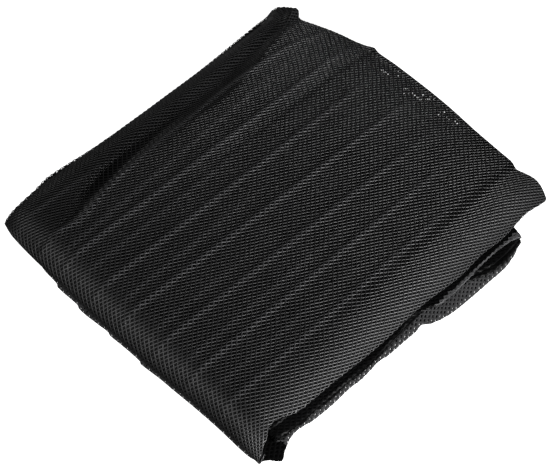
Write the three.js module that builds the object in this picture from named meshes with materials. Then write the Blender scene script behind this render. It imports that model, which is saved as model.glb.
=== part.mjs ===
// A door mosquito net of fine black mesh, folded back and forth into a soft, flat packet.
// Millimetres, Z up. X runs along the closed fold at the front, Y from that fold to the loose edge at the back.
// The net is one sheet: from its loose end at the back it runs over the top of the packet, rolls down the front,
// passes underneath, and then goes back and forth between the two, ending just below the layer it started as.

import * as THREE from 'three';

// Driving sizes
const HEIGHT = 21; // from the surface to the creases on top
const SHEET = 1.2; // one layer, which is the net already folded lengthwise into five plies
const CLEAR = 0.4; // least gap between two layers
const RIDGE_HEIGHT = 1.0; // old creases standing up on the top layer
const RIDGE_HALF_WIDTH = 7;

// The pile falls away from its crown: in a round curve over the right edge, and gently at the back
const RIGHT_SHOULDER = 66;
const RIGHT_EDGE = 91;
const RIGHT_KEEPS = 0.6; // share of the height left at that edge
const BACK_SHOULDER = 74;
const BACK_EDGE = 108;
const BACK_KEEPS = 0.74;

// On the left it steps down from the outermost crease into a lower roll along that side
const LEFT_SHOULDER = -66;
const LEFT_EDGE = -99;
const leftRoll = [
  { at: 0.0, keeps: 1.0 },
  { at: 0.22, keeps: 0.86 },
  { at: 0.44, keeps: 0.79 },
  { at: 0.64, keeps: 0.7 },
  { at: 0.84, keeps: 0.48 },
  { at: 1.0, keeps: 0.22 },
];

// A trough parts that roll from the top near the front corner: its X and its depth along Y
const leftTrough = [
  { at: -100, x: -58, depth: 0.6 },
  { at: -76, x: -68, depth: 2.2 },
  { at: -44, x: -75, depth: 2.6 },
  { at: -8, x: -78, depth: 1.2 },
  { at: 24, x: -79, depth: 0.4 },
  { at: 100, x: -80, depth: 0.4 },
];
const TROUGH_HALF_WIDTH = 8;

// The front roll, where the top layer turns down and under: share of its reach outwards, share of the height there
const ROLL_START = -88;
const rollSection = [
  { out: 0.3, up: 0.97 },
  { out: 0.56, up: 0.87 },
  { out: 0.76, up: 0.7 },
  { out: 0.91, up: 0.48 },
  { out: 1.0, up: 0.24 },
  { out: 0.95, up: 0.07 },
];

// Edges of the outer layer as they wander: Y of the front roll and of the loose back edge along X
const frontEdge = [
  { at: -98, reach: -99 },
  { at: -82, reach: -103 },
  { at: -40, reach: -105 },
  { at: 12, reach: -103.5 },
  { at: 50, reach: -100.5 },
  { at: 90, reach: -98.5 },
];
const backEdge = [
  { at: -100, reach: 97 },
  { at: -90, reach: 104 },
  { at: -81, reach: 100 },
  { at: -58, reach: 105 },
  { at: -38, reach: 109 },
  { at: 14, reach: 108 },
  { at: 58, reach: 104 },
  { at: 82, reach: 103 },
  { at: 94, reach: 97 },
];

// X of the top layer's two sides along Y
const leftEdge = [
  { at: -105, reach: -93 },
  { at: -86, reach: -98 },
  { at: -66, reach: -101 },
  { at: -20, reach: -98 },
  { at: 40, reach: -99 },
  { at: 98, reach: -102 },
];
const rightEdge = [
  { at: -105, reach: 89 },
  { at: -88, reach: 85 },
  { at: -70, reach: 88 },
  { at: 20, reach: 89.5 },
  { at: 70, reach: 90.5 },
  { at: 104, reach: 91.5 },
];

// The lower layers' loose right side along Y, lying out past the packet in a flap
const looseEdge = [
  { at: -95, reach: 89 },
  { at: -91, reach: 94.5 },
  { at: -84, reach: 91 },
  { at: 0, reach: 92 },
  { at: 36, reach: 98.5 },
  { at: 58, reach: 100.5 },
  { at: 70, reach: 98.5 },
  { at: 79, reach: 94 },
  { at: 84, reach: 86 },
  { at: 95, reach: 83 },
];

// Layers from the surface up: the X of their left and right sides, their share of the way from the right side to
// the loose edge, and the Y of their front and back folds
const layers = [
  { left: -96, right: 86, runsOut: 1.0, front: -94, back: 97 },
  { left: -93, right: 84, runsOut: 0.75, front: -86, back: 97 },
  { left: -91, right: 83, runsOut: 0.8, front: -86, back: 101 },
  { left: -88, right: 81, runsOut: 0.3, front: -89, back: 101 },
  { left: -84, right: 82, runsOut: 0.1, front: -89, back: 96 },
  { left: -77, right: 80, runsOut: 0, front: -84, back: 96 },
  { left: -70, right: 81, runsOut: 0, front: -84, back: 98 },
  { left: -66, right: 78, runsOut: 0, front: -81, back: 98 },
  { left: -62, right: 79, runsOut: 0, front: -81, back: 94 },
];

// Old creases along the top layer, each with its X and its share of the full ridge height
const ridges = [
  { x: -67, share: 1.0 },
  { x: -45, share: 1.0 },
  { x: -21.5, share: 0.85 },
  { x: 2, share: 1.0 },
  { x: 21, share: 0.7 },
  { x: 44, share: 0.9 },
  { x: 65.5, share: 0.75 },
];
const RIDGES_FADE = [20, 110]; // Y from which they soften, and where they are gone

// Where the sheet is divided: X stations on the outer and inner layers, Y shares on each
const OUTER_X = [-96, -91, -85, -79, -73, -67, -60, -53, -45, -37, -29, -21.5, -14, -6, 2, 8, 14, 21, 28, 36, 44,
  51, 58, 65.5, 72, 78, 83, 87];
const INNER_X = [-86, -79, -73, -67, -60, -20, 20, 58, 65.5, 72, 78, 83, 87];
const TOP_Y_SHARES = [1, 0.95, 0.88, 0.78, 0.62, 0.44, 0.28, 0.13, 0];
const LOWER_Y_SHARES = [0, 0.02, 0.05, 0.1, 0.3, 0.48, 0.6, 0.7, 0.8, 0.88, 0.91, 0.94, 1];
const INNER_Y_SHARES = [0, 0.1, 0.36, 0.6, 0.8, 0.9, 1];
const LOWER_LAYERS = 3; // those that lie out in the flap
const MOST_DRAWN_IN = 14;
const FOLD_STEPS = 4;

const { clamp, lerp, smoothstep } = THREE.MathUtils;

// One column of a table at a place between its rows, on a smooth curve through them
function tableAt(rows, column, place) {
  const last = rows.length - 1;
  if (place <= rows[0].at) return rows[0][column];
  if (place >= rows[last].at) return rows[last][column];
  const next = rows.findIndex((row) => row.at > place);
  const slope = (index) => {
    const before = rows[Math.max(index - 1, 0)];
    const after = rows[Math.min(index + 1, last)];
    return (after[column] - before[column]) / (after.at - before.at);
  };
  const span = rows[next].at - rows[next - 1].at;
  const t = (place - rows[next - 1].at) / span;
  const ease = t * t * (3 - 2 * t);
  const leaving = t * (1 - t) ** 2 * span * slope(next - 1);
  const arriving = t * t * (t - 1) * span * slope(next);
  return lerp(rows[next - 1][column], rows[next][column], ease) + leaving + arriving;
}

// Middle height of the top layer without its creases
function crownHeight(x, y) {
  const full = HEIGHT - RIDGE_HEIGHT - SHEET / 2;
  const overRight = clamp((x - RIGHT_SHOULDER) / (RIGHT_EDGE - RIGHT_SHOULDER), 0, 1);
  const right = 1 - (1 - RIGHT_KEEPS) * overRight ** 2;
  const left = tableAt(leftRoll, 'keeps', (LEFT_SHOULDER - x) / (LEFT_SHOULDER - LEFT_EDGE));
  const overBack = clamp((y - BACK_SHOULDER) / (BACK_EDGE - BACK_SHOULDER), 0, 1);
  const back = 1 - (1 - BACK_KEEPS) * left * overBack ** 2;
  return full * right * left * back;
}

function troughDepth(x, y) {
  const away = Math.abs(x - tableAt(leftTrough, 'x', y)) / TROUGH_HALF_WIDTH;
  return tableAt(leftTrough, 'depth', y) * (1 - smoothstep(away, 0, 1));
}

function creaseHeight(x, y) {
  let height = 0;
  for (const ridge of ridges) {
    const away = Math.abs(x - ridge.x) / RIDGE_HALF_WIDTH;
    height = Math.max(height, RIDGE_HEIGHT * ridge.share * (1 - smoothstep(away, 0, 1)));
  }
  return height * (1 - smoothstep(y, ...RIDGES_FADE));
}

const topHeight = (x, y) => crownHeight(x, y) + creaseHeight(x, y) - troughDepth(x, y);

// Middle height of a layer below the top one: the pile is shared out evenly, and never pressed closer than CLEAR
function layerHeight(index, x, y) {
  const spread = (crownHeight(x, y) - SHEET / 2) / layers.length;
  return SHEET / 2 + index * Math.max(spread, SHEET + CLEAR);
}

// A layer's side is drawn in where the top layer comes down to it
function drawnIn(index, side, y) {
  const room = 1.25 * SHEET + CLEAR / 2;
  const inwards = -Math.sign(side);
  let x = side;
  for (let drawn = 0; drawn < MOST_DRAWN_IN; drawn += 1) {
    if (topHeight(x, y) > layerHeight(index, x, y) + room) break;
    x += inwards;
  }
  return x;
}

const layerLeft = (index, y) => drawnIn(index, layers[index].left, y);

function layerRight(index, y) {
  const { right, runsOut } = layers[index];
  return drawnIn(index, lerp(right, tableAt(looseEdge, 'reach', y), runsOut), y);
}

// A row is the sheet's middle line across its width at one place along its length. Stations that would crowd
// one of its ends are left out.
const rows = [];
function addRow(left, right, stations, pointAt) {
  const crowded = 2.5;
  const between = stations.filter((x) => x > left + crowded && x < right - crowded);
  rows.push([left, ...between, right].map(pointAt));
}

// Top layer, from the loose edge at the back to where it starts to roll down
for (const share of TOP_Y_SHARES) {
  const middleY = lerp(ROLL_START, BACK_EDGE, share);
  addRow(tableAt(leftEdge, 'reach', middleY), tableAt(rightEdge, 'reach', middleY), OUTER_X, (x) => {
    const y = lerp(ROLL_START, tableAt(backEdge, 'reach', x), share);
    return new THREE.Vector3(x, y, topHeight(x, y));
  });
}

// Front roll, down to the surface
for (const { out, up } of rollSection) {
  const middleY = lerp(ROLL_START, tableAt(frontEdge, 'reach', 0), out);
  const left = lerp(layerLeft(0, middleY), tableAt(leftEdge, 'reach', middleY), up);
  const right = lerp(layerRight(0, middleY), tableAt(rightEdge, 'reach', middleY), up);
  addRow(left, right, OUTER_X, (x) => {
    const y = lerp(ROLL_START, tableAt(frontEdge, 'reach', x), out);
    return new THREE.Vector3(x, y, lerp(SHEET / 2, topHeight(x, ROLL_START), up));
  });
}

// Bottom layer and the back-and-forth layers on it, with a half-round fold after each
layers.forEach((layer, index) => {
  const towardsBack = index % 2 === 0;
  const stations = index === 0 ? OUTER_X : INNER_X;
  const shares = index < LOWER_LAYERS ? LOWER_Y_SHARES : INNER_Y_SHARES;
  for (const share of towardsBack ? shares : shares.toReversed()) {
    const y = lerp(layer.front, layer.back, share);
    addRow(layerLeft(index, y), layerRight(index, y), stations, (x) => (
      new THREE.Vector3(x, y, layerHeight(index, x, y))
    ));
  }
  if (index + 1 === layers.length) return;
  const foldY = towardsBack ? layer.back : layer.front;
  const outwards = towardsBack ? 1 : -1;
  for (let step = 1; step < FOLD_STEPS; step += 1) {
    const share = step / FOLD_STEPS;
    const turn = Math.PI * share;
    const left = lerp(layerLeft(index, foldY), layerLeft(index + 1, foldY), share);
    const right = lerp(layerRight(index, foldY), layerRight(index + 1, foldY), share);
    addRow(left, right, INNER_X, (x) => {
      const low = layerHeight(index, x, foldY);
      const radius = (layerHeight(index + 1, x, foldY) - low) / 2;
      const y = foldY + outwards * radius * Math.sin(turn);
      return new THREE.Vector3(x, y, low + radius * (1 - Math.cos(turn)));
    });
  }
});

// Direction of the sheet's upper face at a point, from its neighbours across and along the sheet
function nearestPoint(row, x) {
  return row.reduce((best, point) => (Math.abs(point.x - x) < Math.abs(best.x - x) ? point : best));
}
function faceDirection(rowIndex, pointIndex) {
  const row = rows[rowIndex];
  const point = row[pointIndex];
  const across = new THREE.Vector3().subVectors(
    row[Math.min(pointIndex + 1, row.length - 1)],
    row[Math.max(pointIndex - 1, 0)],
  );
  const before = nearestPoint(rows[Math.max(rowIndex - 1, 0)], point.x);
  const after = nearestPoint(rows[Math.min(rowIndex + 1, rows.length - 1)], point.x);
  const along = new THREE.Vector3().subVectors(after, before);
  along.x = 0;
  return new THREE.Vector3().crossVectors(along, across).normalize();
}

// The sheet's two faces lie half its thickness either side of the rows
const positions = [];
const [upper, lower] = [1, -1].map((side) => rows.map((row, rowIndex) => row.map((point, pointIndex) => {
  const shifted = point.clone().addScaledVector(faceDirection(rowIndex, pointIndex), (side * SHEET) / 2);
  positions.push(shifted.x, shifted.y, shifted.z);
  return { index: positions.length / 3 - 1, x: point.x };
})));

const triangles = [];
const addTriangle = (a, b, c) => triangles.push(a.index, b.index, c.index);

// Fills the strip between two neighbouring rows, stepping along whichever of them is behind
function stitch(first, second, turnOver) {
  let i = 0;
  let j = 0;
  while (i < first.length - 1 || j < second.length - 1) {
    const stepFirst = j === second.length - 1
      || (i < first.length - 1 && first[i].x + first[i + 1].x <= second[j].x + second[j + 1].x);
    const ahead = stepFirst ? first[i + 1] : second[j + 1];
    if (turnOver) addTriangle(first[i], ahead, second[j]);
    else addTriangle(first[i], second[j], ahead);
    if (stepFirst) i += 1;
    else j += 1;
  }
}

function closeSide(a, b, c, d) {
  addTriangle(a, b, c);
  addTriangle(a, c, d);
}

for (let row = 0; row + 1 < rows.length; row += 1) {
  stitch(upper[row], upper[row + 1], false);
  stitch(lower[row], lower[row + 1], true);
  closeSide(upper[row][0], lower[row][0], lower[row + 1][0], upper[row + 1][0]);
  closeSide(upper[row].at(-1), upper[row + 1].at(-1), lower[row + 1].at(-1), lower[row].at(-1));
}
stitch(upper[0], lower[0], true);
stitch(upper.at(-1), lower.at(-1), false);

const geometry = new THREE.BufferGeometry();
geometry.setAttribute('position', new THREE.Float32BufferAttribute(positions, 3));
geometry.setIndex(triangles);
geometry.computeVertexNormals();

// The origin is the middle of the packet's underside
geometry.computeBoundingBox();
const middle = geometry.boundingBox.getCenter(new THREE.Vector3());
geometry.translate(-middle.x, -middle.y, -geometry.boundingBox.min.z);

const blackNet = new THREE.MeshStandardMaterial({ color: 0x1c1c1d, roughness: 0.78, metalness: 0 });
const foldedNet = new THREE.Mesh(geometry, blackNet);
foldedNet.name = 'folded_net';

const packet = new THREE.Group();
packet.add(foldedNet);

export default packet;
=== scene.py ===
import math

import bmesh
import bpy
import numpy as np
from mathutils import Matrix, Vector


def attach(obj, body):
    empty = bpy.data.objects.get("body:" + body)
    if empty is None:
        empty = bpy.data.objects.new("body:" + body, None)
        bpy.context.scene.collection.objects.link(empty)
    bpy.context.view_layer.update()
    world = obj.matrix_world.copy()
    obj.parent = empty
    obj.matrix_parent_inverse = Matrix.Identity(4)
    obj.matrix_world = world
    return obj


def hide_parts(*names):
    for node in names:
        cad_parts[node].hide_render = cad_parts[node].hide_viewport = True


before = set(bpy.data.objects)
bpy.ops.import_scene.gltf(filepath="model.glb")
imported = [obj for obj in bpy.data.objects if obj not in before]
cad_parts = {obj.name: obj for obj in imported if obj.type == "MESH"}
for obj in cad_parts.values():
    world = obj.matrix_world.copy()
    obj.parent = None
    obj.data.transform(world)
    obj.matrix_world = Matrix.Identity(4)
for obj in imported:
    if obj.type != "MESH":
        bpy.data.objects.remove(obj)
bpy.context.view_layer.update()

# The outer ply: the net's loose end, which covers the packet from its back edge and rolls down its front. It
# is black knitted polyester. Its rows of thread run slantwise over the packet. Its sides are turned under.
# Sizes of the net are in millimetres, on a plan whose middle lies a little off the packet's middle.
MM = 0.001
PLAN_TO_PACKET = np.array((0.885, -1.898, 0.0))


def curve_at(table, place, column=1):
    """One column of a table at a place between its rows, on a smooth curve through them."""
    at, value = table[:, 0], table[:, column]
    slope = np.empty_like(value)
    slope[1:-1] = (value[2:] - value[:-2]) / (at[2:] - at[:-2])
    slope[0] = (value[1] - value[0]) / (at[1] - at[0])
    slope[-1] = (value[-1] - value[-2]) / (at[-1] - at[-2])
    place = np.clip(place, at[0], at[-1])
    k = np.clip(np.searchsorted(at, place, side="right") - 1, 0, len(at) - 2)
    span = at[k + 1] - at[k]
    t = (place - at[k]) / span
    between = value[k] + (value[k + 1] - value[k]) * t * t * (3 - 2 * t)
    return between + span * (t * (1 - t) ** 2 * slope[k] + t * t * (t - 1) * slope[k + 1])


def smoothstep(value, low, high):
    t = np.clip((value - low) / (high - low), 0, 1)
    return t * t * (3 - 2 * t)


def mix(a, b, share):
    return a + (b - a) * share


# The top falls away from its crown: round on the right, gently at the back, and to a lower roll on the left
HEIGHT, SHEET, CLEAR = 21.0, 1.2, 0.4  # of the packet, of one layer, and between two layers at least
CREASE_HEIGHT = 1.0
RIGHT_SHOULDER, RIGHT_ROUND, RIGHT_DROP, RIGHT_MOST = 66.0, 28.0, 0.58, 0.96
BACK_SHOULDER, BACK_EDGE, BACK_KEEPS = 74.0, 108.0, 0.74
LEFT_SHOULDER, LEFT_SHOULDER_BACK, LEFT_EASES, LEFT_EDGE = -66.0, -80.0, (25.0, 95.0), -99.0
CORNER_SHOULDER, CORNER_EDGE, CORNER_EASES = -87.0, -103.3, (84.0, 98.0)
LEFT_ROLL = np.array((  # share of the way from the shoulder to the edge, share of the height
    (0.0, 1.0), (0.22, 0.86), (0.44, 0.79), (0.64, 0.7), (0.84, 0.48), (1.0, 0.22),
))


def crown_height(x, y):
    over_right = np.clip((x - RIGHT_SHOULDER) / RIGHT_ROUND, 0, RIGHT_MOST)
    right = 1 - RIGHT_DROP * (1 - np.sqrt(1 - over_right ** 2))
    corner = smoothstep(y, *CORNER_EASES)
    shoulder = mix(LEFT_SHOULDER, LEFT_SHOULDER_BACK, smoothstep(y, *LEFT_EASES))
    shoulder = mix(shoulder, CORNER_SHOULDER, corner)
    edge = mix(LEFT_EDGE, CORNER_EDGE, corner)
    left = curve_at(LEFT_ROLL, (shoulder - x) / (shoulder - edge))
    over_back = np.clip((y - BACK_SHOULDER) / (BACK_EDGE - BACK_SHOULDER), 0, 1)
    back = 1 - (1 - BACK_KEEPS) * left * over_back ** 2
    return (HEIGHT - CREASE_HEIGHT - SHEET / 2) * right * left * back


# Packing pressed creases into the top, from the front roll towards the back, and a fold beside the left roll
ROLL_START, ROLL_LENGTH = -88.0, 36.5
TOP_LENGTH = BACK_EDGE - ROLL_START
CREASES = (  # X of each crease at the front and at the back, its strength, and Y where it ends
    (-44.8, -45.0, 1.0, 120.0), (-21.8, -21.0, 0.95, 110.0), (-1.3, 3.8, 1.0, 115.0),
    (21.3, 27.0, 0.85, 105.0), (43.5, 45.5, 0.9, 100.0), (65.0, 64.0, 0.75, 90.0),
    (-50.5, -63.0, 0.45, 85.0), (-33.5, -36.5, 0.4, 50.0), (-9.0, -11.5, 0.45, 20.0),
    (13.4, 15.0, 0.35, 0.0), (35.8, 34.8, 0.4, 40.0), (55.0, 56.0, 0.3, 30.0), (-81.0, -77.0, 0.6, -20.0),
)
LEFT_FOLD = np.array((  # Y and X of the fold
    (-100.0, -64.5), (-88.0, -61.0), (-78.0, -59.5), (-54.0, -65.0), (-26.0, -68.0), (6.0, -69.5),
    (34.0, -71.0), (54.0, -69.5), (72.0, -68.0), (100.0, -62.5),
))
LEFT_FOLD_END = 120.0
CREASE_WIDTH, CREASE_FADE, CREASE_RISE = 1.0, 70.0, 0.5


def crease_share(x, y):
    """How much a place on the top lies on one of the creases."""
    lines = [(curve_at(LEFT_FOLD, y), 1.0, LEFT_FOLD_END)]
    for front_x, back_x, strength, end in CREASES:
        lines.append((mix(front_x, back_x, (y - ROLL_START) / TOP_LENGTH), strength, end))
    share = 0.0
    for line, strength, end in lines:
        fading = strength * (1 - smoothstep(y, end - CREASE_FADE, end))
        share = np.maximum(share, fading * np.exp(-0.5 * ((x - line) / CREASE_WIDTH) ** 2))
    return share


LEFT_TROUGH = np.array((  # Y, X and depth of the valley between the top and the lower roll on its left
    (-100.0, -66.0, 0.5), (-80.0, -64.5, 1.8), (-66.0, -67.0, 2.9), (-49.0, -71.0, 3.6), (-36.0, -73.5, 3.3),
    (-20.0, -75.0, 2.2), (0.0, -76.5, 1.2), (26.0, -78.0, 0.6), (100.0, -82.0, 0.5),
))
TROUGH_INNER_WIDTH, TROUGH_OUTER_WIDTH = 5.5, 10.0


def top_height(x, y):
    away = x - curve_at(LEFT_TROUGH, y)
    away = np.abs(away) / np.where(away > 0, TROUGH_INNER_WIDTH, TROUGH_OUTER_WIDTH)
    trough = curve_at(LEFT_TROUGH, y, 2) * (1 - smoothstep(away, 0, 1))
    return crown_height(x, y) + CREASE_RISE * crease_share(x, y) - trough


# The edges of the ply as they wander on the plan, and the section of its front roll
BACK_LINE = np.array((  # X and Y
    (-102.0, 95.0), (-97.0, 96.8), (-92.0, 99.8), (-87.0, 101.2), (-84.5, 100.0), (-81.5, 96.8),
    (-79.0, 96.0), (-76.0, 96.8), (-70.0, 99.6), (-58.0, 104.6), (-46.0, 108.0), (-41.0, 109.8),
    (-37.5, 111.6), (-34.0, 110.5), (-20.0, 110.8), (14.0, 109.6), (43.0, 106.5), (58.0, 105.0),
    (66.0, 104.2), (70.8, 101.9), (74.5, 103.3), (80.0, 105.2), (84.0, 105.0), (89.5, 102.9),
    (92.0, 101.6), (96.0, 99.5),
))
FRONT_LINE = np.array((  # X and Y
    (-98.0, -100.3), (-82.0, -104.2), (-40.0, -105.0), (12.0, -104.0), (50.0, -101.8), (90.0, -100.6),
))
LEFT_LINE = np.array((  # Y and X
    (-105.0, -93.0), (-92.0, -94.9), (-86.0, -96.5), (-78.0, -98.9), (-66.0, -101.0), (-20.0, -98.0),
    (40.0, -99.0), (98.0, -102.0),
))
RIGHT_LINE = np.array((  # Y and X
    (-105.0, 91.0), (-95.0, 88.0), (-85.0, 84.5), (-73.0, 88.2), (-53.0, 89.0), (-20.0, 90.5),
    (12.0, 90.2), (38.0, 91.8), (56.0, 91.2), (72.0, 92.0), (92.0, 91.0), (104.0, 92.0),
))
ROLL_SECTION = np.array((  # share of its length, share of its reach outwards, share of the height
    (0.0, 0.0, 1.0), (0.142, 0.33, 0.97), (0.277, 0.62, 0.87), (0.411, 0.85, 0.7),
    (0.538, 1.0, 0.5), (0.667, 0.97, 0.26), (0.772, 0.88, 0.08), (1.0, 0.36, 0.0),
))


def top_middle_y(v):
    rolled = np.clip((v - TOP_LENGTH) / ROLL_LENGTH, 0, 1)
    y = mix(BACK_EDGE, ROLL_START, np.clip(v / TOP_LENGTH, 0, 1))
    return y + (curve_at(FRONT_LINE, 0.0) - ROLL_START) * curve_at(ROLL_SECTION, rolled)


def top_sides(v):
    """Where the ply's sides are on the flat net, at a length from its loose end."""
    y = top_middle_y(v)
    over_right = (curve_at(RIGHT_LINE, y) - RIGHT_SHOULDER) / RIGHT_ROUND
    return curve_at(LEFT_LINE, y), RIGHT_SHOULDER + RIGHT_ROUND * np.arcsin(over_right)


def top_run(s, v):
    """Where a place on the flat net, across it and from its loose end on, lies over the top and the roll."""
    over_right = np.clip((s - RIGHT_SHOULDER) / RIGHT_ROUND, 0, math.pi / 2)
    x = np.where(s > RIGHT_SHOULDER, RIGHT_SHOULDER + RIGHT_ROUND * np.sin(over_right), s)
    rolled = np.clip((v - TOP_LENGTH) / ROLL_LENGTH, 0, 1)
    out, up = curve_at(ROLL_SECTION, rolled), curve_at(ROLL_SECTION, rolled, 2)
    y = mix(curve_at(BACK_LINE, x), ROLL_START, np.minimum(v / TOP_LENGTH, 1))
    z = mix(SHEET / 2, top_height(x, y), up)
    return np.stack((x, y + (curve_at(FRONT_LINE, x) - ROLL_START) * out, z), axis=-1)


# The knitted mesh: rows and columns of thread, and the steps from one thread to the next on the flat net
ROW_ANGLE, ROW_SPACING, ROW_SHARE = math.radians(60.0), 1.74, 0.38
COLUMN_ANGLE, COLUMN_SPACING, COLUMN_SHARE = math.radians(135.0), 2.3, 0.26
ROUND_THREAD = ((0.62, 0.09), (0.38, 0.21))  # steps down from the crest: share of the half width, depth
PRESSED_THREAD = ((1.0, 0.2),)
CELL = 2.5
TURN_RADIUS, TURN_LENGTH = 0.45, 6.0
crossing = math.sin(COLUMN_ANGLE - ROW_ANGLE)
row_step = np.array((math.cos(ROW_ANGLE), -math.sin(ROW_ANGLE))) * COLUMN_SPACING / crossing
column_step = np.array((-math.cos(COLUMN_ANGLE), math.sin(COLUMN_ANGLE))) * ROW_SPACING / crossing


def flat_net(reach, length, sides, turns, density, thread):
    """A slanted lattice of threads, cut to the net's sides and ends, flat, with the area of its threads."""
    cell = np.array((1 / COLUMN_SHARE, 1 / ROW_SHARE))
    steps = np.stack((row_step / cell[0], column_step / cell[1]), axis=1)
    corners = np.array([(s, v) for s in reach for v in (0.0, length)]) @ np.linalg.inv(steps).T / cell
    first, last = np.floor(corners.min(0)).astype(int), np.ceil(corners.max(0)).astype(int)
    count, middle = last - first, (first + last) / 2 * cell
    bm = bmesh.new()
    bmesh.ops.create_grid(
        bm, x_segments=int(count[0]), y_segments=int(count[1]), size=0.5,
        matrix=Matrix.Translation((*middle, 0)) @ Matrix.Diagonal((*(count * cell), 1, 1)),
    )
    faces = list(bm.faces)
    s, v = (np.array([f.calc_center_median()[:2] for f in faces]) @ steps.T).T
    left, right = sides(v)
    spare = CELL / 2 + turns(v) * (math.pi * TURN_RADIUS + TURN_LENGTH)
    inside = (v > -CELL) & (v < length + CELL) & (s > left - spare) & (s < right + spare)
    bmesh.ops.delete(bm, geom=[f for f, kept in zip(faces, inside) if not kept], context="FACES")
    holes = [f for f, kept in zip(faces, inside) if kept]
    densities = density(s, v)[inside]
    for share, depth in thread:
        for dense in np.unique(densities):
            bmesh.ops.inset_individual(
                bm, faces=[f for f, at_hole in zip(holes, densities) if at_hole == dense],
                thickness=dense * share / 2, depth=-depth, use_even_offset=True,
            )
    bmesh.ops.delete(bm, geom=holes, context="FACES_ONLY")
    bm.normal_update()
    for edge in bm.edges:
        if len(edge.link_faces) == 2:
            along_row = [abs(face.normal.y) > abs(face.normal.x) for face in edge.link_faces]
            edge.smooth = along_row[0] == along_row[1]
    cover = 1 - (1 - densities * ROW_SHARE) * (1 - densities * COLUMN_SHARE)
    area = cover.sum() * ROW_SPACING * COLUMN_SPACING / crossing
    to_flat = Matrix(((*steps[0], 0, 0), (*steps[1], 0, 0), (0, 0, 1, 0), (0, 0, 0, 1)))
    bmesh.ops.transform(bm, matrix=to_flat, verts=bm.verts)
    for end, outwards in ((0.0, -1.0), (length, 1.0)):
        bmesh.ops.bisect_plane(
            bm, geom=[*bm.verts, *bm.edges, *bm.faces],
            plane_co=(0, end, 0), plane_no=(0, outwards, 0), clear_outer=True,
        )
    return bm, area


CUT_OVERHANG, SLOPE_STEP = 0.15, 0.2
WANDER, WANDER_ALONG, WANDER_ACROSS = 0.12, (5.3, 11.7, 13.0), (17.0, 7.9, 3.7)


def fold_net(name, bm, run, sides, turns, lift, material, facing=1.0, radius=TURN_RADIUS):
    """Lays a flat piece of net along its run, with its sides turned under, and puts it on the packet."""
    mesh = bpy.data.meshes.new(name)
    bm.to_mesh(mesh)
    bm.free()
    co = np.empty(len(mesh.vertices) * 3)
    mesh.vertices.foreach_get("co", co)
    s, v, relief = co.reshape(-1, 3).T
    flat = np.stack((s, v), axis=-1)
    loops = np.empty(len(mesh.loops), dtype=np.int32)
    mesh.loops.foreach_get("vertex_index", loops)
    low, size = flat.min(0), np.ptp(flat, axis=0).max()
    mesh.uv_layers.new(name="OFBake").data.foreach_set("uv", ((flat - low) / size)[loops].ravel())
    mesh.uv_layers.new(name="flat_net").data.foreach_set("uv", flat[loops].ravel())

    # The rows wander a little. Past a side the ply goes round a small fold and back below itself.
    along = [v / wave for wave in WANDER_ALONG]
    across = [s / wave for wave in WANDER_ACROSS]
    wander = np.sin(along[0] + np.sin(across[0])) + np.sin(along[1] + across[1])
    s = s + WANDER * (wander + np.sin(across[2] + np.sin(along[2])))
    left, right = sides(v)
    side = np.where(s > (left + right) / 2, 1.0, -1.0)
    edge = np.where(side > 0, right, left)
    past = np.maximum((s - edge) * side, 0) * np.where(turns(v) > 0, 1.0, CUT_OVERHANG)
    turn = np.clip(past / radius, 0, math.pi)
    around = (radius + relief) * np.sin(turn) - np.maximum(past - math.pi * radius, 0)
    x = np.where(past > 0, edge + side * around, s)
    slope_across = run(x + SLOPE_STEP, v) - run(x - SLOPE_STEP, v)
    slope_along = run(x, v + SLOPE_STEP) - run(x, v - SLOPE_STEP)
    normal = np.cross(slope_along, slope_across)
    normal *= facing / np.linalg.norm(normal, axis=1, keepdims=True)
    above = lift + radius * (np.cos(turn) - 1) + relief * np.cos(turn)
    co = (run(x, v) + normal * above[:, None] + PLAN_TO_PACKET) * MM
    mesh.vertices.foreach_set("co", co.ravel())
    mesh.polygons.foreach_set("use_smooth", np.ones(len(mesh.polygons), dtype=bool))
    mesh.update()

    ply = bpy.data.objects.new(name, mesh)
    bpy.context.scene.collection.objects.link(ply)
    mesh.materials.append(material)
    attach(ply, "root")
    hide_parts("folded_net")
    return ply


def all_along(value):
    return lambda v: np.full_like(v, value)


# Thread dyed black and a little worn in places, with a paler tone painted on as highlight where the outer
# ply's mark says light catches it
WEAR_SCALE, WEAR_DETAIL, WEAR_RANGE = 60.0, 3.0, (0.3, 0.72)
FIBRE_SCALE, FIBRE_DETAIL, FIBRE_BUMP, FIBRE_HEIGHT = 6.0, 2.0, 0.35, 0.00005
THREAD_ROUGHNESS = (0.36, 0.58)
thread_group = bpy.data.node_groups.new("thread_dye_and_sheen", "ShaderNodeTree")
for socket_name, socket_type, way in (
    ("Dark Dye", "NodeSocketColor", "INPUT"),
    ("Worn Dye", "NodeSocketColor", "INPUT"),
    ("Sheen Paint", "NodeSocketColor", "INPUT"),
    ("Color", "NodeSocketColor", "OUTPUT"),
    ("Roughness", "NodeSocketFloat", "OUTPUT"),
    ("Fibre", "NodeSocketFloat", "OUTPUT"),
):
    thread_group.interface.new_socket(socket_name, in_out=way, socket_type=socket_type)
nodes, links = thread_group.nodes, thread_group.links
tone_inputs, result = nodes.new("NodeGroupInput"), nodes.new("NodeGroupOutput")
place = nodes.new("ShaderNodeTexCoord")
flat_place = nodes.new("ShaderNodeUVMap")
flat_place.uv_map = "flat_net"
wear = nodes.new("ShaderNodeTexNoise")
wear.inputs["Scale"].default_value = WEAR_SCALE
wear.inputs["Detail"].default_value = WEAR_DETAIL
worn = nodes.new("ShaderNodeMapRange")
worn.inputs["From Min"].default_value, worn.inputs["From Max"].default_value = WEAR_RANGE
dye = nodes.new("ShaderNodeMix")
dye.data_type = "RGBA"
# Painted highlight: a mark on the mesh lifts the thread to the paler tone where light catches it
sheen_mark = nodes.new("ShaderNodeAttribute")
sheen_mark.attribute_name = "painted_sheen"
sheen_paint = nodes.new("ShaderNodeMix")
sheen_paint.data_type = "RGBA"
fibre = nodes.new("ShaderNodeTexNoise")
fibre.inputs["Scale"].default_value = FIBRE_SCALE
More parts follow.
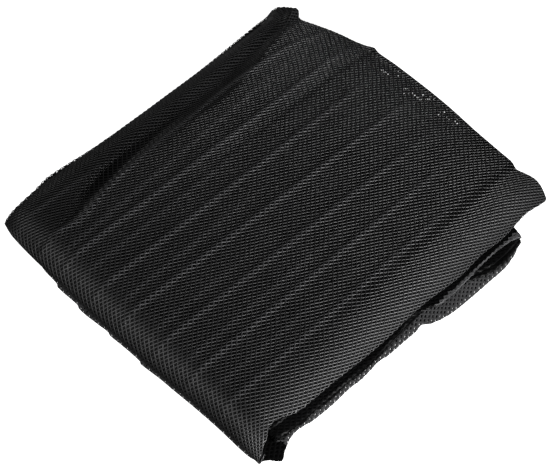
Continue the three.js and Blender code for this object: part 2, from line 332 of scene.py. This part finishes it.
fibre.inputs["Detail"].default_value = FIBRE_DETAIL
gloss = nodes.new("ShaderNodeMapRange")
gloss.inputs["To Min"].default_value, gloss.inputs["To Max"].default_value = THREAD_ROUGHNESS
links.new(place.outputs["Object"], wear.inputs["Vector"])
links.new(wear.outputs["Fac"], worn.inputs["Value"])
links.new(worn.outputs["Result"], dye.inputs["Factor"])
links.new(tone_inputs.outputs["Dark Dye"], dye.inputs["A"])
links.new(tone_inputs.outputs["Worn Dye"], dye.inputs["B"])
links.new(sheen_mark.outputs["Fac"], sheen_paint.inputs["Factor"])
links.new(dye.outputs["Result"], sheen_paint.inputs["A"])
links.new(tone_inputs.outputs["Sheen Paint"], sheen_paint.inputs["B"])
links.new(sheen_paint.outputs["Result"], result.inputs["Color"])
links.new(flat_place.outputs["UV"], fibre.inputs["Vector"])
links.new(fibre.outputs["Fac"], gloss.inputs["Value"])
links.new(gloss.outputs["Result"], result.inputs["Roughness"])
links.new(fibre.outputs["Fac"], result.inputs["Fibre"])


def thread_material(name, dark, worn_tone, sheen_tone, specular):
    material = bpy.data.materials.new(name)
    material.use_nodes = True
    nodes, links = material.node_tree.nodes, material.node_tree.links
    thread = nodes["Principled BSDF"]
    thread.inputs["Specular IOR Level"].default_value = specular
    thread_tone = nodes.new("ShaderNodeGroup")
    thread_tone.node_tree = thread_group
    thread_tone.inputs["Dark Dye"].default_value = (*dark, 1)
    thread_tone.inputs["Worn Dye"].default_value = (*worn_tone, 1)
    thread_tone.inputs["Sheen Paint"].default_value = (*sheen_tone, 1)
    fibre_bump = nodes.new("ShaderNodeBump")
    fibre_bump.inputs["Strength"].default_value = FIBRE_BUMP
    fibre_bump.inputs["Distance"].default_value = FIBRE_HEIGHT
    links.new(thread_tone.outputs["Color"], thread.inputs["Base Color"])
    links.new(thread_tone.outputs["Roughness"], thread.inputs["Roughness"])
    links.new(thread_tone.outputs["Fibre"], fibre_bump.inputs["Height"])
    links.new(fibre_bump.outputs["Normal"], thread.inputs["Normal"])
    return material


# The third tone is painted highlight, for where light catches the outer ply
BLACK_DYE, WORN_DYE, SHEEN_PAINT_DYE = (0.005, 0.005, 0.0052), (0.009, 0.009, 0.0094), (0.045, 0.045, 0.047)
black_net = thread_material("black_net", BLACK_DYE, WORN_DYE, SHEEN_PAINT_DYE, specular=0.6)
TIGHTNESS = np.array((1.0, 1.15, 1.3, 1.45))  # thickness of the threads as the net is more and more gathered
FRONT_GATHERED = (TOP_LENGTH - 6.0, TOP_LENGTH + 12.0)
RIGHT_GATHERED, RIGHT_GATHERED_SHARE = (66.0, 92.0), 0.8


def outer_density(s, v):
    on_front = smoothstep(v, *FRONT_GATHERED)
    on_right = RIGHT_GATHERED_SHARE * smoothstep(s, *RIGHT_GATHERED)
    gathered = np.maximum(on_front, on_right)
    return TIGHTNESS[np.rint(gathered * (len(TIGHTNESS) - 1)).astype(int)]


OUTER_REACH, OUTER_LENGTH, OUTER_LIFT = (-116.0, 112.0), TOP_LENGTH + ROLL_LENGTH - CELL, 0.4
sides_turned = all_along(1.0)
bm, thread_area = flat_net(OUTER_REACH, OUTER_LENGTH, top_sides, sides_turned, outer_density, ROUND_THREAD)
outer_ply = fold_net("net_outer_ply", bm, top_run, top_sides, sides_turned, OUTER_LIFT, black_net)


def plan_places(parts, name):
    """X and Y on the plan of a mesh's vertices or faces."""
    places = np.empty(len(parts) * 3)
    parts.foreach_get(name, places)
    return (places.reshape(-1, 3) / MM - PLAN_TO_PACKET).T[:2]


# Painted highlights on the outer ply: a mark for the paler tone along the creases, over the front roll, over
# the droop on the right and on the left corner at the back, where light catches the net
CREASES_SHEEN_Y = (-99.0, -87.0)
FRONT_SHEEN_Y, FRONT_SHEEN_FADES_Y, FRONT_SHEEN_SHARE = (-102.5, -98.0), (-92.0, -84.0), 0.03
FRONT_UNEVEN, FRONT_WAVES = 0.25, (3.3, 9.1)
RIGHT_SHEEN_X, RIGHT_SHEEN_SHARE = (74.0, 86.0), 0.33
CORNER_SHEEN_LEFT, CORNER_SHEEN_Y, CORNER_SHEEN_SHARE = (72.0, 84.0), (-60.0, 70.0), 0.55
x, y = plan_places(outer_ply.data.vertices, "co")
crease_sheen = crease_share(x, y) * smoothstep(y, *CREASES_SHEEN_Y)
front_sheen = smoothstep(y, *FRONT_SHEEN_Y) * (1 - smoothstep(y, *FRONT_SHEEN_FADES_Y))
front_sheen *= 1 - FRONT_UNEVEN + FRONT_UNEVEN * np.sin(x / FRONT_WAVES[0] + 2 * np.sin(x / FRONT_WAVES[1]))
corner_sheen = smoothstep(-x, *CORNER_SHEEN_LEFT) * smoothstep(y, *CORNER_SHEEN_Y)
sheen_share = np.maximum.reduce((
    crease_sheen,
    FRONT_SHEEN_SHARE * front_sheen,
    RIGHT_SHEEN_SHARE * smoothstep(x, *RIGHT_SHEEN_X),
    CORNER_SHEEN_SHARE * corner_sheen,
))
outer_ply.data.attributes.new("painted_sheen", "FLOAT", "POINT").data.foreach_set("value", sheen_share)

# The second ply lies close under the outer one, where the net's lengthwise folding put it. It stops short of
# the outer ply's turned sides, and its end lies a little further in, so that its threads cross behind the
# outer ply's holes.
SECOND_REACH, SECOND_LENGTH, SECOND_LIFT = (-101.0, 97.0), TOP_LENGTH + 24.0, 0.05
SECOND_IN, SECOND_BACK_IN = 1.5, 1.67
SHADED_DYE, SHADED_WORN_DYE = (0.0015, 0.0015, 0.0015), (0.003, 0.003, 0.0032)


def second_run(x, v):
    return top_run(x, v + SECOND_BACK_IN)


def second_sides(v):
    left, right = top_sides(v + SECOND_BACK_IN)
    return left + SECOND_IN, right - SECOND_IN


def evenly(density):
    return lambda s, v: np.full_like(v, density)


shaded_net = thread_material("shaded_net", SHADED_DYE, SHADED_WORN_DYE, SHADED_WORN_DYE, specular=0.1)
sides_cut = all_along(0.0)
bm, thread_area = flat_net(SECOND_REACH, SECOND_LENGTH, second_sides, sides_cut, evenly(1.0), PRESSED_THREAD)
second_ply = fold_net("net_second_ply", bm, second_run, second_sides, sides_cut, SECOND_LIFT, shaded_net)

# The three inner plies of the same layer are pressed together under these two. Only their crossing threads
# show through the holes, so they are one dense sheet with rows of thread on it, in a tone painted far darker
# than the net's dye: painted shade under the two plies above. By the back edge they lie loose, and light
# comes through small gaps between them.
INNER_LENGTH, INNER_LIFT = TOP_LENGTH + ROLL_LENGTH - 4.0, -0.3
INNER_IN, INNER_BACK_OUT, INNER_CELL = 0.3, 0.7, (2.0, 2.0)
GAP_PLACES = (  # across the net, and from the back edge on
    (-21.0, 8.5), (-15.0, 4.0), (-3.0, 10.0), (4.0, 8.0), (9.0, 5.0), (21.0, 7.0), (27.0, 5.0),
)
GAP_REACH, GAP_SHARE, GAP_SIZE, GAP_SEED = 3.2, 0.75, 0.75, 4


def inner_run(x, v):
    return top_run(x, v - INNER_BACK_OUT)


def inner_sides(v):
    left, right = top_sides(v - INNER_BACK_OUT)
    return left + INNER_IN, right - INNER_IN


def flat_plies(length, sides, cell):
    """A flat sheet between two sides, divided in cells, with its area."""
    across = np.ptp(sides(np.zeros(1)))
    bm = bmesh.new()
    bmesh.ops.create_grid(
        bm, x_segments=int(across / cell[0]), y_segments=int(length / cell[1]), size=0.5,
        matrix=Matrix.Translation((0.5, length / 2, 0)) @ Matrix.Diagonal((1, length, 1, 1)),
    )
    left, right = sides(np.array([vert.co.y for vert in bm.verts]))
    for vert, low, high in zip(bm.verts, left, right):
        vert.co.x = mix(low, high, vert.co.x)
    return bm, sum(face.calc_area() for face in bm.faces)


bm, inner_area = flat_plies(INNER_LENGTH, inner_sides, INNER_CELL)
chance = np.random.default_rng(GAP_SEED)
gaps = []
for face in bm.faces:
    s, v, _ = face.calc_center_median()
    loose = any(math.hypot(s - across, v - along) < GAP_REACH for across, along in GAP_PLACES)
    if loose and chance.random() < GAP_SHARE:
        gaps.append(face)
bmesh.ops.inset_individual(bm, faces=gaps, thickness=(min(INNER_CELL) - GAP_SIZE) / 2)
bmesh.ops.delete(bm, geom=gaps, context="FACES")

# Painted shade: the pressed plies' tones lie far below the net's own dye and have almost no shine
PLIES_ROUGHNESS, PLIES_SPECULAR = 0.7, 0.04
BETWEEN_ROWS, ON_ROWS = (0.0006, 0.0006, 0.0006, 1), (0.0022, 0.0022, 0.0023, 1)
WAVES_PER_SCALE = 20 / (2 * math.pi)  # of Blender's wave texture
ROWS_UNEVEN, ROWS_DETAIL, ROWS_HEIGHT = 0.6, 1.0, 0.0002
shaded_pressed_plies = bpy.data.materials.new("shaded_pressed_plies")
shaded_pressed_plies.use_nodes = True
nodes, links = shaded_pressed_plies.node_tree.nodes, shaded_pressed_plies.node_tree.links
pressed = nodes["Principled BSDF"]
pressed.inputs["Roughness"].default_value = PLIES_ROUGHNESS
pressed.inputs["Specular IOR Level"].default_value = PLIES_SPECULAR
flat_place = nodes.new("ShaderNodeUVMap")
flat_place.uv_map = "flat_net"
turned_rows = nodes.new("ShaderNodeMapping")
turned_rows.inputs["Rotation"].default_value[2] = ROW_ANGLE
rows = nodes.new("ShaderNodeTexWave")
rows.bands_direction = "Y"
rows.inputs["Scale"].default_value = 1 / (WAVES_PER_SCALE * ROW_SPACING)
rows.inputs["Distortion"].default_value = ROWS_UNEVEN
rows.inputs["Detail"].default_value = ROWS_DETAIL
row_tone = nodes.new("ShaderNodeValToRGB")
row_tone.color_ramp.elements[0].color = BETWEEN_ROWS
row_tone.color_ramp.elements[1].color = ON_ROWS
row_bump = nodes.new("ShaderNodeBump")
row_bump.inputs["Distance"].default_value = ROWS_HEIGHT
links.new(flat_place.outputs["UV"], turned_rows.inputs["Vector"])
links.new(turned_rows.outputs["Vector"], rows.inputs["Vector"])
links.new(rows.outputs["Fac"], row_tone.inputs["Fac"])
links.new(row_tone.outputs["Color"], pressed.inputs["Base Color"])
links.new(rows.outputs["Fac"], row_bump.inputs["Height"])
links.new(row_bump.outputs["Normal"], pressed.inputs["Normal"])

inner_plies = fold_net("net_inner_plies", bm, inner_run, inner_sides, sides_cut, INNER_LIFT, shaded_pressed_plies)

# The rest of the net goes back and forth between the front and the back of the packet, in nine layers from
# the surface up. Their right sides make a steep wall under the outer ply, and the lowest four fan out of it
# in a loose flap.
LAYERS = np.array((  # left side, front and back folds
    (-96, -97, 97), (-93, -86, 97), (-91, -86, 101), (-88, -89, 101), (-84, -89, 96), (-77, -84, 96),
    (-70, -84, 98), (-66, -81, 98), (-62, -81, 94),
), dtype=float)
RIGHT_SIDES = (  # Y and X of each layer's right side, the last line for all the layers above the flap
    ((-97, 88.5), (-91.4, 96.0), (-87, 93.4), (-77, 90.0), (-66, 91.8), (-54, 92.4), (-42, 92.2),
     (-36, 92.9), (-23, 92.2), (-17, 93.0), (-6, 93.3), (2, 93.6), (7, 93.2), (10.5, 95.6), (15.7, 97.6),
     (22, 98.9), (28, 99.6), (36, 100.0), (50, 100.3), (60, 100.6), (66, 99.8), (71, 98.6), (77, 96.6),
     (79.5, 95.6), (80.7, 90.0), (82, 87.0), (86, 84.0), (97, 83.0)),
    ((-97, 86.0), (-80, 88.8), (-54, 90.0), (-22, 90.6), (-6, 89.6), (10, 88.6), (22, 88.6), (34, 90.0),
     (44, 94.0), (54, 97.4), (63, 98.2), (71, 97.4), (77, 96.0), (79.2, 95.4), (80.4, 90.0), (82, 87.0),
     (86, 84.0), (97, 83.0)),
    ((-97, 85.0), (-80, 88.3), (-54, 89.6), (-22, 90.2), (-6, 89.2), (10, 88.2), (22, 88.4), (34, 89.6),
     (44, 92.6), (54, 95.4), (63, 96.0), (71, 95.8), (77, 95.3), (79.2, 95.0), (80.4, 90.0), (82, 87.0),
     (86, 83.0), (101, 82.0)),
    ((-97, 80.0), (-80, 83.0), (-54, 84.5), (-22, 85.0), (-6, 86.0), (10, 89.0), (22, 92.9), (41, 92.8),
     (55, 92.0), (70, 92.8), (76, 94.2), (79, 94.8), (80.2, 90.0), (82, 87.0), (86, 83.0), (101, 82.0)),
    ((-97, 78.0), (-80, 82.0), (-20, 84.5), (40, 86.0), (70, 86.0), (101, 80.0)),
)
MOST_DRAWN_IN = 18
LEAST_UNDER_TOP = 1.25 * SHEET + CLEAR / 2
SIDES_FROM, SIDES_TO, SIDES_COUNT = -96.0, 103.0, 200


def layer_height(index, x, y):
    spread = (crown_height(x, y) - SHEET / 2) / len(LAYERS)
    return SHEET / 2 + index * np.maximum(spread, SHEET + CLEAR)


def drawn_in(index, side, inwards, y):
    """A layer's side, drawn in where the top comes down to it."""
    x = side.copy()
    for _ in range(MOST_DRAWN_IN):
        tight = top_height(x, y) <= layer_height(index, x, y) + LEAST_UNDER_TOP
        x = x + inwards * tight
    return x


side_places = np.linspace(SIDES_FROM, SIDES_TO, SIDES_COUNT)
layer_sides = []
for index, left in enumerate(LAYERS[:, 0]):
    right = curve_at(np.array(RIGHT_SIDES[min(index, len(RIGHT_SIDES) - 1)]), side_places)
    layer_sides.append((
        drawn_in(index, np.full_like(side_places, left), 1.0, side_places),
        drawn_in(index, right, -1.0, side_places),
    ))
FOLD_LENGTH = 3.3
layer_lengths = LAYERS[:, 2] - LAYERS[:, 1]
layer_starts = np.concatenate(((0.0,), np.cumsum(layer_lengths[:-1] + FOLD_LENGTH)))


def layer_place(v):
    """The layer that a place along the net is on, its Y there, and how far it is round the next fold."""
    index = np.clip(np.searchsorted(layer_starts, v, side="right") - 1, 0, len(LAYERS) - 1)
    share = np.clip((v - layer_starts[index]) / layer_lengths[index], 0, 1)
    share = np.where(index % 2 == 0, share, 1 - share)
    y = mix(LAYERS[index, 1], LAYERS[index, 2], share)
    turned = np.clip((v - layer_starts[index] - layer_lengths[index]) / FOLD_LENGTH, 0, 1)
    return index, y, turned


FRONT_PEEK = np.array((  # X and how far the bottom layer's front edge comes out there from under the roll
    (-80.0, 0.0), (-62.0, 6.6), (-49.0, 7.6), (-47.0, 8.6), (-32.5, 8.1), (-30.0, 8.9), (-24.0, 8.7),
    (-16.0, 7.8), (-10.2, 7.2), (-8.2, 7.8), (1.0, 7.1), (12.4, 6.7), (14.0, 7.4), (26.0, 6.1), (34.0, 5.6),
    (49.0, 4.5), (65.0, 3.8), (80.0, 3.7), (86.0, 3.0), (92.0, 0.0),
))
PEEK_EASES = (-97.0, -60.0)


def layers_from(start):
    """The run and the sides of the layers, from a place along the net on."""
    def sides(v):
        index, y, turned = layer_place(v + start)
        upper = np.minimum(index + 1, len(LAYERS) - 1)
        lefts = np.array([np.interp(y, side_places, left) for left, _ in layer_sides])
        rights = np.array([np.interp(y, side_places, right) for _, right in layer_sides])
        every = np.arange(len(v))
        left = mix(lefts[index, every], lefts[upper, every], turned)
        return left, mix(rights[index, every], rights[upper, every], turned)

    def run(x, v):
        index, y, turned = layer_place(v + start)
        y = y - curve_at(FRONT_PEEK, x) * (index == 0) * (1 - smoothstep(y, *PEEK_EASES))
        low = layer_height(index, x, y)
        radius = (layer_height(index + 1, x, y) - low) / 2
        outwards = np.where(index % 2 == 0, 1.0, -1.0)
        angle = math.pi * turned
        return np.stack((
            x, y + outwards * radius * np.sin(angle), low + radius * (1 - np.cos(angle)),
        ), axis=-1)

    return run, sides


def fold_after(index):
    return layer_starts[index] + layer_lengths[index] + FOLD_LENGTH / 2


LOOSE_DENSITY, BUNDLE_DENSITY = 2.45, 2.1
first_fold, third_fold, fifth_fold = fold_after(0), fold_after(2), fold_after(4)
LAYER_PIECES = (  # name, first and last place along the net, what it lies on, way it faces, threads
    ("net_bottom_layer", 0.0, first_fold, "floor", -1.0, LOOSE_DENSITY, ROUND_THREAD),
    ("net_flap_layers", first_fold, third_fold, "net_bottom_layer", 1.0, BUNDLE_DENSITY, PRESSED_THREAD),
    ("net_lower_layers", third_fold, fifth_fold, "net_flap_layers", 1.0, BUNDLE_DENSITY, PRESSED_THREAD),
)
LIT_PARTS = {  # X and Y between which a layer lies in the light
    "net_bottom_layer": (((80.0, 102.0), (-84.0, 90.0)), ((-97.0, 88.0), (-108.0, -97.5))),
    "net_lower_layers": (((92.0, 102.0), (14.0, 90.0)),),
}
# Painted light and shade: the layers get the shaded copy of the thread, and a lit copy with a far paler dye
# where they lie in the light
LIT_DYE, LIT_WORN_DYE = (0.045, 0.045, 0.046), (0.07, 0.07, 0.072)
LAYER_REACH, LAYER_RADIUS, LAYER_LIFT, TURN_STARTS = (-97.0, 113.0), 0.75, 0.3, 6.0
painted_lit_net = thread_material("painted_lit_net", LIT_DYE, LIT_WORN_DYE, LIT_WORN_DYE, specular=0.15)
for name, start, end, below, facing, density, thread in LAYER_PIECES:
    run, sides = layers_from(start)
    turns_from = first_fold - start

    def turns(v):
        return np.clip((v - turns_from) / TURN_STARTS, 0, 1)

    bm, thread_area = flat_net(LAYER_REACH, end - start, sides, turns, evenly(density), thread)
    layer_piece = fold_net(name, bm, run, sides, turns, LAYER_LIFT, shaded_net, facing, LAYER_RADIUS)
    layer_piece.data.materials.append(painted_lit_net)
    x, y = plan_places(layer_piece.data.polygons, "center")
    in_light = np.zeros(len(x), dtype=np.int32)
    for (x_low, x_high), (y_low, y_high) in LIT_PARTS.get(name, ()):
        in_light |= (x > x_low) & (x < x_high) & (y > y_low) & (y < y_high)
    layer_piece.data.polygons.foreach_set("material_index", in_light)

# Inside each of these layers the rest of the net's lengthwise folds are pressed flat. They follow its run as
# one dense sheet in the same painted-shade tone and stay a little inside its sides, the most where the
# bottom layer's edge is sheer.
PLIES_START, PLIES_IN, PLIES_CELL, PLIES_LIFT = 1.0, 0.6, (3.0, 1.1), -0.15
PLIES_REACH, PLIES_LENGTH = (-95.0, 100.0), layer_starts[-1] + layer_lengths[-1] - CELL - PLIES_START
FRINGE, FRINGE_STARTS, FRINGE_ENDS = 1.9, (-84.0, -76.0), (56.0, 72.0)
plies_run, layer_outline = layers_from(PLIES_START)


def plies_sides(v):
    left, right = layer_outline(v)
    y = layer_place(v + PLIES_START)[1]
    in_bottom_layer = v < first_fold - PLIES_START
    sheer = in_bottom_layer * smoothstep(y, *FRINGE_STARTS) * (1 - smoothstep(y, *FRINGE_ENDS))
    inwards = mix(PLIES_IN, FRINGE, sheer)
    return left + inwards, right - inwards


bm, plies_area = flat_plies(PLIES_LENGTH, plies_sides, PLIES_CELL)
layer_plies = fold_net("net_layer_plies", bm, plies_run, plies_sides, sides_cut, PLIES_LIFT, shaded_pressed_plies)

# A plain white floor under the packet, wide enough to fill the view from every side. It shines as white as a
# lit studio ground, and sends no light onto the net.
FLOOR_HALF_WIDTH, FLOOR_CELLS, FLOOR_BELOW = 3.0, 8, 0.0002
PAPER_TONE, PAPER_ROUGHNESS, PAPER_SHINE = (0.92, 0.92, 0.92, 1), 0.9, 1.0
bm = bmesh.new()
bmesh.ops.create_grid(
    bm, x_segments=FLOOR_CELLS, y_segments=FLOOR_CELLS, size=FLOOR_HALF_WIDTH,
    matrix=Matrix.Translation((0, 0, -FLOOR_BELOW)),
)
floor_mesh = bpy.data.meshes.new("floor")
bm.to_mesh(floor_mesh)
bm.free()
floor = bpy.data.objects.new("floor", floor_mesh)
bpy.context.scene.collection.objects.link(floor)
white_paper = bpy.data.materials.new("white_paper")
white_paper.use_nodes = True
paper = white_paper.node_tree.nodes["Principled BSDF"]
paper.inputs["Base Color"].default_value = PAPER_TONE
paper.inputs["Roughness"].default_value = PAPER_ROUGHNESS
paper.inputs["Emission Color"].default_value = (1, 1, 1, 1)
paper.inputs["Emission Strength"].default_value = PAPER_SHINE
floor_mesh.materials.append(white_paper)
floor.visible_diffuse = False
floor.visible_glossy = False

# Soft studio light: a low softbox on the right, a higher one in front, and a little light from all round
ROOM_LIGHT = 0.05
SOFTBOXES = (  # direction from the packet, distance and width in metres, watts
    ("right_softbox", (0.93, -0.02, 0.31), 0.75, 0.34, 10.5),
    ("front_softbox", (-0.15, -0.8, 0.58), 1.0, 0.6, 4.5),
)
world = bpy.data.worlds.new("white_room")
world.use_nodes = True
room = world.node_tree.nodes["Background"]
room.inputs["Color"].default_value = (1, 1, 1, 1)
room.inputs["Strength"].default_value = ROOM_LIGHT
bpy.context.scene.world = world
for name, direction, distance, width, watts in SOFTBOXES:
    light = bpy.data.objects.new(name, bpy.data.lights.new(name, "AREA"))
    light.data.shape = "SQUARE"
    light.data.size = width
    light.data.energy = watts
    outwards = Vector(direction).normalized()
    light.location = outwards * distance
    light.rotation_mode = "QUATERNION"
    light.rotation_quaternion = outwards.to_track_quat("Z", "Y")
    bpy.context.scene.collection.objects.link(light)
bpy.context.scene.view_settings.view_transform = "Standard"

# The camera: a long lens that looks down on the packet from in front of its nearest corner. Its focal length
# is given in pixels of the 552 x 472 image, its sensor in millimetres and its place in metres.
AIM, DISTANCE = Vector((0.0111, -0.0125, 0.008)), 0.626
AZIMUTH, ELEVATION = math.radians(45.5), math.radians(56.5)
IMAGE_WIDTH, FOCAL_PIXELS, SENSOR = 552, 1250, 36.0
NEAREST, FARTHEST = 0.01, 20.0
towards_camera = Vector((
    math.sin(AZIMUTH) * math.cos(ELEVATION),
    -math.cos(AZIMUTH) * math.cos(ELEVATION),
    math.sin(ELEVATION),
))
camera = bpy.data.objects.new("camera", bpy.data.cameras.new("camera"))
camera.data.sensor_fit = "HORIZONTAL"
camera.data.sensor_width = SENSOR
camera.data.lens = SENSOR * FOCAL_PIXELS / IMAGE_WIDTH
camera.data.clip_start = NEAREST
camera.data.clip_end = FARTHEST
camera.location = AIM + towards_camera * DISTANCE
camera.rotation_mode = "QUATERNION"
camera.rotation_quaternion = (-towards_camera).to_track_quat("-Z", "Y")
bpy.context.scene.collection.objects.link(camera)
bpy.context.scene.camera = camera
